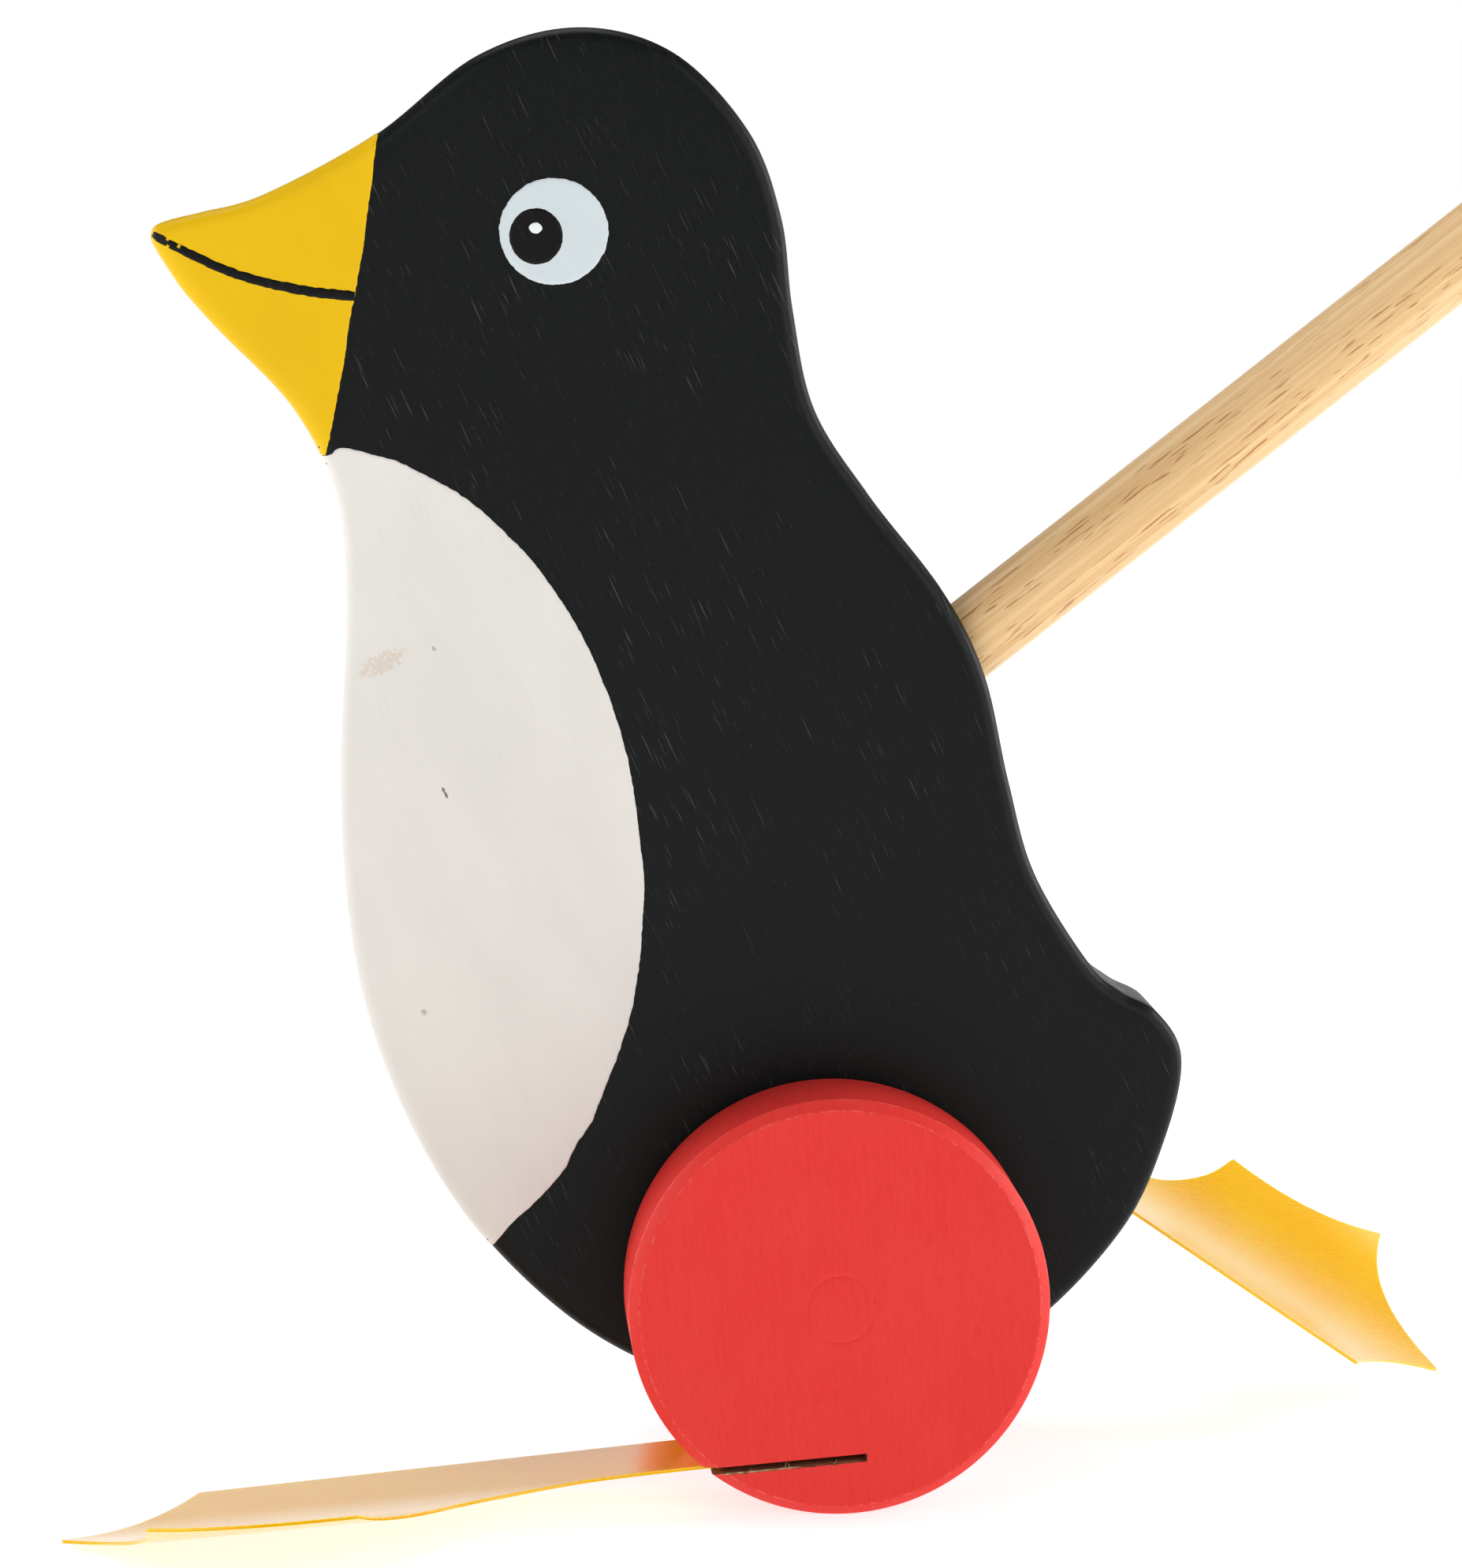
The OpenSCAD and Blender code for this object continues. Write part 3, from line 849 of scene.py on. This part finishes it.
def board_and_paint():
    body_skin()
    coat("beak_coat", "beak_paint", yellow_paint, BEAK_EDGE, BEAK_TIP,
         seed=3, rim=0.02, wave=0.08)
    coat("belly_coat", "belly_paint", belly_paint, BELLY_EDGE, BREAST,
         seed=11, rim=0.05, wave=0.1)
    spot("eye_white_coat", eye_white_paint, "eye_whites", EYE,
         radii=[7.98, 7.75], seed=21, below=0, thick=0.11, rough=0.008)
    spot("eye_pupil_coat", face_black_paint, "eye_pupils", PUPIL,
         radii=[3.9, 4.1], seed=23, below=0.11, thick=0.08, rough=0.008)
    spot("eye_glint_coat", glint_paint, "eye_glints", GLINT,
         radii=[0.95, 0.8], seed=25, below=0.19, thick=0.06, rough=0.06, corners=48)
    mouth_lines()


# ---- handle ----

def rod_grain(points):
    """Points of the handle as places along the rod and across it."""
    local = points - ROD_FOOT
    across = np.cross(ROD_AXIS, [0, 1, 0])
    return np.column_stack([local @ ROD_AXIS, local @ across, local[:, 1]])


def handle():
    end = 0.8
    profile = [[0, 0], *rounded(0.4, [0, 0], [ROD_R - end, 0], [ROD_R, end]),
               *rounded(0.4, [ROD_R - end, 0], [ROD_R, end], [ROD_R, ROD_LEN])]
    profile += [[ROD_R, h] for h in np.linspace(6, ROD_LEN - 6, 90)]
    profile += rounded(0.4, [ROD_R, 0], [ROD_R, ROD_LEN - end], [ROD_R - end, ROD_LEN])
    profile += rounded(0.4, [ROD_R, ROD_LEN - end], [ROD_R - end, ROD_LEN], [0, ROD_LEN])
    points, faces = turned(profile + [[0, ROD_LEN]], 96)
    points = along_axis(points, ROD_FOOT, ROD_AXIS)
    rod = new_piece("push_rod", points, faces, rod_wood)
    settle(rod, rod_grain(points), "bird", "handle_rod")

    low, high = box_mm("handle_ball")
    radius = (high[1] - low[1]) / 2
    centre = (GRIP_AT - ROD_FOOT) @ ROD_AXIS
    hole = ROD_R + GLUE_GAP
    mouth = math.asin((hole + 0.5) / radius)
    brim = centre - radius * math.cos(mouth)
    profile = [[0, centre + radius]]
    for a in np.linspace(0.03, math.pi - mouth, 60):
        profile.append([radius * math.sin(a), centre + radius * math.cos(a)])
    profile += [[hole + 0.12, brim + 0.25], [hole, brim + 0.8], [hole, ROD_LEN + 0.02],
                [0, ROD_LEN + 0.02]]
    points, faces = turned(profile, 120)
    points = along_axis(points, ROD_FOOT, ROD_AXIS)
    ball = new_piece("grip_ball", points, faces, ball_wood)
    settle(ball, rod_grain(points), "bird", "handle_ball")
    socket_ring()


def socket_ring():
    """A thin uneven bead of dried glue where the rod goes into the board's back."""
    turn = np.linspace(0, 2 * math.pi, 121)[:-1]
    across = np.cross(ROD_AXIS, [0, 1, 0])
    round_rod = np.cos(turn)[:, None] * across + np.sin(turn)[:, None] * np.array([0, 1, 0])

    def at(length):
        return ROD_FOOT + length[:, None] * ROD_AXIS + ROD_R * round_rod

    def on_side(length):
        return at(length)[:, [0, 2]] - [0, AXLE_Z]

    bead = at(last_inside(on_side, len(turn), PAST_BACK))
    sides = 8
    round_bead = np.arange(sides) * 2 * math.pi / sides
    size = 0.16 + 0.07 * np.array([noise.noise(Vector(p / 2.3)) for p in bead])
    ring = bead[:, None] + size[:, None, None] * (
        np.cos(round_bead)[None, :, None] * round_rod[:, None]
        + np.sin(round_bead)[None, :, None] * ROD_AXIS)
    points = ring.reshape(-1, 3)
    faces = grid_faces(len(turn), sides, closed=True)
    last = (len(turn) - 1) * sides
    faces += [[last + j, last + (j + 1) % sides, (j + 1) % sides, j] for j in range(sides)]
    piece = new_piece("socket_glue", points, faces, glue)
    settle(piece, rod_grain(points), "bird")


# ---- axle and wheels ----

# How wide the lighter line along a wheel's edges is (a painted highlight as well as wear), and how much paint
# covers the axle's end.
HIGHLIGHT_AND_WEAR_WIDTH = 0.22
AXLE_COVER = 0.12


def wheel_profile():
    """A painted wheel's section, from the middle of its outer side round to its blind bore.

    The axle's end shows under the paint as a low boss with a groove round it."""
    face, back, r = WHEEL_OUT, WHEEL_IN, WHEEL_R
    hub = [[0, 0.05], [2, 0.06], [4.0, 0.06], [4.6, 0.04], [4.82, -0.02], [4.98, -0.09],
           [5.14, -0.02], [5.4, 0.03], [6.2, 0]]
    outer = [[q, face + h] for q, h in hub] + [[q, face] for q in (10, 15, 20, 24, 27, 28.6)]
    chamfer_out = [[r - CHAMFER, face], [r, face - CHAMFER]]
    chamfer_in = [[r, back + CHAMFER], [r - CHAMFER, back]]
    corners = [outer[-1], *chamfer_out, *chamfer_in, [20, back]]
    out = outer
    for a, b, c in zip(corners, corners[1:], corners[2:]):
        out += rounded(0.28, a, b, c)
        if b == chamfer_out[1]:
            out += [[r, y] for y in np.linspace(face - CHAMFER - 1, back + CHAMFER + 1, 7)]
    bore = AXLE_R + 0.02
    return out + [[20, back], [9, back], [bore + 0.3, back], [bore, back + 0.3],
                  [bore, face - AXLE_COVER], [0, face - AXLE_COVER]]


def wheel(foot):
    points, faces = turned(wheel_profile(), 240)
    points = foot.placed(points[:, [0, 2, 1]])
    piece = new_piece(foot.name + "_wheel_disc", points, faces, red, kerf_walls)
    cut(piece, kerf_cutter(foot))
    local = foot.local(points_of(piece))
    radius = np.hypot(local[:, 0], local[:, 2])
    from_edge = np.minimum(
        np.hypot(radius - WHEEL_R, local[:, 1] - (WHEEL_OUT - CHAMFER)),
        np.hypot(radius - WHEEL_R + CHAMFER, local[:, 1] - WHEEL_OUT))
    for face in piece.data.polygons:
        x, _, z = foot.local(np.array(face.center)[None] / MM)[0]
        in_height = KERF_BOTTOM - 0.35 < z < KERF_TOP + 0.2
        in_length = math.hypot(x, z) < WHEEL_R - 0.02 and x < KERF_END + 0.2
        if in_height and in_length and abs(face.normal.y) <= 0.6:
            face.material_index = 1
    note_grain(piece, np.exp(-(from_edge / HIGHLIGHT_AND_WEAR_WIDTH) ** 2), "edge")
    settle(piece, local[:, [0, 2, 1]], "wheelset", foot.name + "_wheel")


def along_kerf(x, size, seed):
    """A smooth random number for each place along the saw cut."""
    return ragged(np.column_stack([x, x * 0]), size, seed)


def kerf_cutter(foot):
    """The saw cut as a solid: straight along its top, a little torn along its bottom lip."""
    past_rim, past_side = 6, 3
    x = np.linspace(MOUTH_X - past_rim, KERF_END, 70)
    torn = 0.10 * along_kerf(x, 1.1, 51 + foot.side)
    torn[-1] = 0
    section = np.vstack([np.column_stack([x, KERF_BOTTOM + torn]),
                         [[KERF_END + 0.1, KERF_TOP], [x[0], KERF_TOP]]])
    n = len(section)
    points = np.vstack([np.column_stack([section[:, 0], np.full(n, y), section[:, 1]])
                        for y in (WHEEL_IN - past_side, WHEEL_OUT + past_side)])
    faces = [list(range(n)), [n + i for i in reversed(range(n))]]
    faces += [[(i + 1) % n, i, n + i, n + (i + 1) % n] for i in range(n)]
    return new_piece("kerf", foot.placed(points), faces)


def axle():
    half, ease = WHEEL_OUT - AXLE_COVER - 0.01, 0.5
    profile = [[0, -half], *rounded(0.3, [0, -half], [AXLE_R - ease, -half], [AXLE_R, ease - half]),
               [AXLE_R, ease - half], *[[AXLE_R, y] for y in np.linspace(1 - half, half - 1, 24)],
               [AXLE_R, half - ease], [AXLE_R - ease, half], [0, half]]
    points, faces = turned(profile, 96)
    points = points[:, [0, 2, 1]] + [0, 0, AXLE_Z]
    piece = new_piece("axle_dowel", points, faces, axle_wood)
    settle(piece, points[:, [1, 0, 2]], "wheelset", "axle")


def kerf_residue(foot):
    """Dried glue along the lower lip of a saw cut, and a few torn fibres in it."""
    x = np.linspace(MOUTH_X + 2.0, MOUTH_X + 14, 90)
    wander = along_kerf(x, 1.4, 61 + foot.side)
    line = np.column_stack([
        x, WHEEL_OUT - 0.22 + 0.08 * wander, KERF_BOTTOM + 0.10 + 0.06 * wander])
    size = 0.13 + 0.07 * along_kerf(x, 0.9, 67 + foot.side)
    size *= np.clip(np.minimum(x - x[0], x[-1] - x), 0.15, 1)
    points, faces = strand(line, np.maximum(size, 0.04))
    t = np.linspace(0, 1, 9)
    # each fibre's place along the cut, how far it leans and how high it stands
    for at, lean, rise in ((11.2, 0.35, 1.25), (12, -0.2, 0.9), (18.5, 0.5, 0.7), (6, 0.3, 0.6)):
        fibre = np.column_stack([MOUTH_X + at + lean * t + 0.12 * np.sin(3 * t),
                                 WHEEL_OUT - 0.3 + 0.45 * np.sin(2.2 * t),
                                 KERF_BOTTOM + 0.05 + rise * t])
        more, more_faces = strand(fibre, 0.045 * (1 - 0.6 * t), sides=6)
        faces += [[i + len(points) for i in f] for f in more_faces]
        points = np.vstack([points, more])
    settle(new_piece(foot.name + "_kerf_glue", foot.placed(points), faces, glue), points, "wheelset")


# ---- feet ----

RIM_ROUND = 0.1
ACROSS = 26


def scallop(p, q, depth, t):
    """A shallow hollow of the given depth from one toe to the next."""
    return p + (q - p) * t + depth * 4 * t * (1 - t) * left_of(unit(p - q))


def foot_rows():
    """Rows across the flat pattern: each one's outer point, its inner place and its end hollow."""
    root_end = -(KERF_LEN - 0.5)
    rows = [([x, STRIP_W], x, 0.0) for x in np.linspace(root_end, 0, 14)[:-1]]
    rows += [(p, p[0], 0.0) for p in smooth_curve(NECK, 10)]
    steps = 18
    for k in (0, 1):
        for t in np.arange(1, steps + 1) / steps:
            inner = INNER_AT_TOE[k] + (INNER_AT_TOE[k + 1] - INNER_AT_TOE[k]) * t
            hollow = t ** 2 * SCALLOPS[2] if k else 0.0
            rows.append((scallop(TOES[k], TOES[k + 1], SCALLOPS[k], t), inner, hollow))
    return rows


def foot_pattern():
    """The flat pattern as rows of [along, across] points."""
    t = np.linspace(0, 1, ACROSS + 1)[:, None]
    end = left_of(unit(TOES[2] - HEEL))
    rows = []
    for outer, inner_x, hollow in foot_rows():
        inner = np.array([inner_x, HEEL[1] * max(inner_x, 0) / HEEL[0]])
        rows.append(inner + (np.array(outer) - inner) * t + hollow * 4 * t * (1 - t) * end)
    return np.array(rows)


def formed(flat, h, foot):
    """Flat points bent into shape, h off the middle: [outwards, across, towards the axle]."""
    along, across = flat[:, 0], flat[:, 1]
    ease = np.clip(along / CURL_EASE, 0, 1) ** 2
    turn = np.clip((along - foot.bend_from) / foot.bend_r, 0, foot.bend_angle)
    rest = along - foot.bend_from - foot.bend_r * turn
    out = foot.bend_from + foot.bend_r * np.sin(turn) + rest * np.cos(turn)
    up = foot.bend_r * (1 - np.cos(turn)) + rest * np.sin(turn)
    past = np.maximum(across - foot.curl_from, 0)
    curl = past / foot.curl_r
    lift = foot.curl_way * ease * foot.curl_r * (1 - np.cos(curl)) + h * np.cos(ease * curl)
    y = across - ease * (past - foot.curl_r * np.sin(curl)) - foot.curl_way * h * np.sin(ease * curl)
    return np.column_stack([out - lift * np.sin(turn), y, up + lift * np.cos(turn)])


def loop_round(rows, columns):
    """The indices of a grid's border, in order."""
    last = (rows - 1) * columns
    return (list(range(columns)) + [i * columns + columns - 1 for i in range(1, rows)]
            + [last + j for j in range(columns - 2, -1, -1)]
            + [i * columns for i in range(rows - 2, 0, -1)])


def foot_sheet(foot):
    """One webbed foot as a single sheet with slightly rounded cut edges, from saw cut to toes."""
    pattern = foot_pattern()
    rows, columns = pattern.shape[:2]
    flat = pattern.reshape(-1, 2)
    loop = loop_round(rows, columns)
    rim = flat[loop]
    inwards = left_of(unit(np.roll(rim, -1, axis=0) - np.roll(rim, 1, axis=0)))
    eased = flat.copy()
    eased[loop] = rim + RIM_ROUND * inwards
    half = SHEET_T / 2
    layers = [(eased, half), (rim, half - RIM_ROUND), (rim, RIM_ROUND - half), (eased, -half)]
    points = np.vstack([formed(f, h, foot) for f, h in layers])
    n, m = len(flat), len(loop)
    starts = [0, n, n + m, n + 2 * m]
    bands = [loop, [starts[1] + i for i in range(m)], [starts[2] + i for i in range(m)],
             [starts[3] + i for i in loop]]
    faces = grid_faces(rows, columns)
    faces += [list(reversed(f)) for f in grid_faces(rows, columns, start=starts[3])]
    for a, b in zip(bands, bands[1:]):
        faces += [[a[(i + 1) % m], a[i], b[i], b[(i + 1) % m]] for i in range(m)]
    points = points * [-1, 1, 1] + [MOUTH_X, STRIP_IN, foot.seat_z]
    sheet = new_piece(foot.name + "_foot_sheet", foot.placed(points), faces, weave, sharp=60)
    note_grain(sheet, np.column_stack([np.vstack([f for f, _ in layers]),
                                       np.repeat([h for _, h in layers], [n, m, m, n])]))
    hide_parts(foot.name + "_foot", foot.name + "_foot_root")
    tip, middle = foot.placed(np.array([[-1.0, 0, 0], [0, 0, 0]]))
    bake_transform(sheet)


# ---- stage ----

CAMERA_AT = (-0.061, -0.735, 0.192)
CAMERA_YAW = 3.65
CAMERA_PITCH = 6.75
CAMERA_LENS = 113.2
WHITE = (1, 1, 1, 1)
LIGHTS_AIM = (-0.03, 0, 0.11)
# [name, place, width and height in metres, power in watts]
LIGHTS = [
    ("left_softbox", (-0.65, -0.85, 0.5), (0.8, 0.8), 4.1),
    ("right_softbox", (0.75, -0.75, 0.5), (0.8, 0.8), 5.4),
    ("left_strip", (-1.6, 0.4, 0.65), (0.7, 1.2), 12),
    ("right_strip", (1.7, 0.3, 0.65), (0.7, 1.2), 18),
    ("top_softbox", (-0.15, 0.35, 1.6), (0.9, 0.9), 9)]


def stand(name, data, at, turn):
    """Puts a camera or a lamp in its place."""
    made = bpy.data.objects.new(name, data)
    made.location = at
    made.rotation_euler = turn
    bpy.context.scene.collection.objects.link(made)
    return made


def camera():
    """A long lens square to the bird's left side, looking a little down and towards its tail."""
    lens = bpy.data.cameras.new("camera")
    lens.lens = CAMERA_LENS
    lens.sensor_width = 36
    lens.clip_start = 0.01
    turn = (math.radians(90 - CAMERA_PITCH), 0, math.radians(-CAMERA_YAW))
    bpy.context.scene.camera = stand("camera", lens, CAMERA_AT, turn)


def area_light(name, at, size, power):
    lamp = bpy.data.lights.new(name, "AREA")
    lamp.shape = "RECTANGLE"
    lamp.size, lamp.size_y = size
    lamp.energy = power
    stand(name, lamp, at, (Vector(LIGHTS_AIM) - Vector(at)).to_track_quat("-Z", "Y").to_euler())


def surroundings():
    """A white tent that is open, and so dark, behind the camera and overhead."""
    world = bpy.data.worlds.new("tent")
    bpy.context.scene.world = world
    world.use_nodes = True
    world.node_tree.nodes.clear()
    tent = Nodes(world.node_tree)
    direction = tent.node("ShaderNodeTexCoord").outputs["Generated"]
    towards_camera = tent.vector("DOT_PRODUCT", direction, (0, -1, 0), "Value")
    height = tent.node("ShaderNodeSeparateXYZ", {"Vector": direction}).outputs["Z"]
    opening = tent.fade(towards_camera, -0.6, 0.7, 1.0, 0.04)
    ceiling = tent.fade(height, 0.18, 0.5, 1.0, 0.06)
    lit, seen = [tent.node("ShaderNodeBackground", {"Color": WHITE}) for _ in range(2)]
    tent.plug(lit.inputs["Strength"], tent.maths("MULTIPLY", opening, ceiling))
    pick = tent.node("ShaderNodeMixShader", {
        "Fac": tent.node("ShaderNodeLightPath").outputs["Is Camera Ray"],
        1: lit.outputs["Background"], 2: seen.outputs["Background"]})
    tent.node("ShaderNodeOutputWorld", {"Surface": pick.outputs["Shader"]})


def floor():
    """A white floor that glows as a light table does, and glows more from a little way out from the toy, a painted
    brightening that lets it fade into the tent.
    """
    half = 2500
    points = [[-half, -half, 0], [half, -half, 0], [half, half, 0], [-half, half, 0]]
    white = Finish("floor_white", Roughness=0.5, Base_Color=(0.5, 0.5, 0.5, 1), Emission_Color=WHITE)
    place = white.node("ShaderNodeNewGeometry").outputs["Position"]
    far = white.vector("LENGTH", place, output="Value")
    # painted light: the floor's glow grows with its distance from the toy
    white.set(Emission_Strength=white.fade(far, 0.15, 0.6, 0.72, 1.0))
    new_piece("floor", points, [[0, 1, 2, 3]], white.material)


def stage():
    surroundings()
    floor()
    for light in LIGHTS:
        area_light(*light)
    view = bpy.context.scene.view_settings
    view.view_transform = "Standard"
    view.look = "None"


# [place, half size along and across the grain, colour, strength]: a rubbed tan smudge by the
# breast, a short dark dash and two specks
BELLY_STAINS = [
    ([-66.1, 93.4], (1.3, 3.2), (0.62, 0.50, 0.36), 0.5),
    ([-57.2, 74.2], (0.9, 0.22), (0.06, 0.05, 0.04), 0.8),
    ([-58.6, 95.5], (0.35, 0.3), (0.3, 0.24, 0.18), 0.6),
    ([-60.5, 41.2], (0.4, 0.35), (0.35, 0.28, 0.2), 0.6)]

# the black's light grey streaks are the grain as well as painted highlights on its relief
black_paint = painted(
    "black_paint", (0.0048, 0.0058, 0.0056), (0.06, 0.064, 0.06), 0.36, 0.46, 0.85)
yellow_paint = painted(
    "yellow_paint", (0.82, 0.50, 0.004), (0.62, 0.40, 0.02), 0.36, 0.46, 0.25)
belly_paint = painted(
    "belly_paint", (0.76, 0.73, 0.69), (0.60, 0.56, 0.53), 0.38, 0.48, 0.3, BELLY_STAINS)
eye_white_paint = painted(
    "eye_white_paint", (0.62, 0.68, 0.70), (0.55, 0.6, 0.62), 0.3, 0.38, 0.1)
glint_paint = painted(
    "glint_paint", (0.80, 0.84, 0.84), (0.7, 0.74, 0.74), 0.3, 0.38, 0.1)
face_black_paint = painted(
    "face_black_paint", (0.0055, 0.006, 0.0055), (0.05, 0.05, 0.045), 0.3, 0.4, 0.4)
red = red_paint()
kerf_walls = rough_matter("sawn_wood", (0.25, 4, 4), (0.20, 0.06, 0.03), (0.50, 0.22, 0.12),
                          0.75, 0.95, 0.08)
rod_wood, ball_wood = [
    varnished_wood(name, (0.86, 0.61, 0.33), (0.71, 0.44, 0.20), (0.36, 0.13, 0.035))
    for name in ("rod_wood", "ball_wood")]
axle_wood = varnished_wood("axle_wood", (0.70, 0.50, 0.30), (0.62, 0.42, 0.24), (0.3, 0.14, 0.06))
weave = coated_weave()
glue = rough_matter("dried_glue", (1.5, 1.5, 1.5), (0.40, 0.20, 0.09), (0.66, 0.46, 0.28),
                    0.35, 0.6, 0.05, Subsurface_Weight=0.1)

camera()
stage()
board_and_paint()
handle()
axle()
for foot in (LEFT, RIGHT):
    wheel(foot)
    kerf_residue(foot)
for foot in (LEFT, RIGHT):
    foot_sheet(foot)
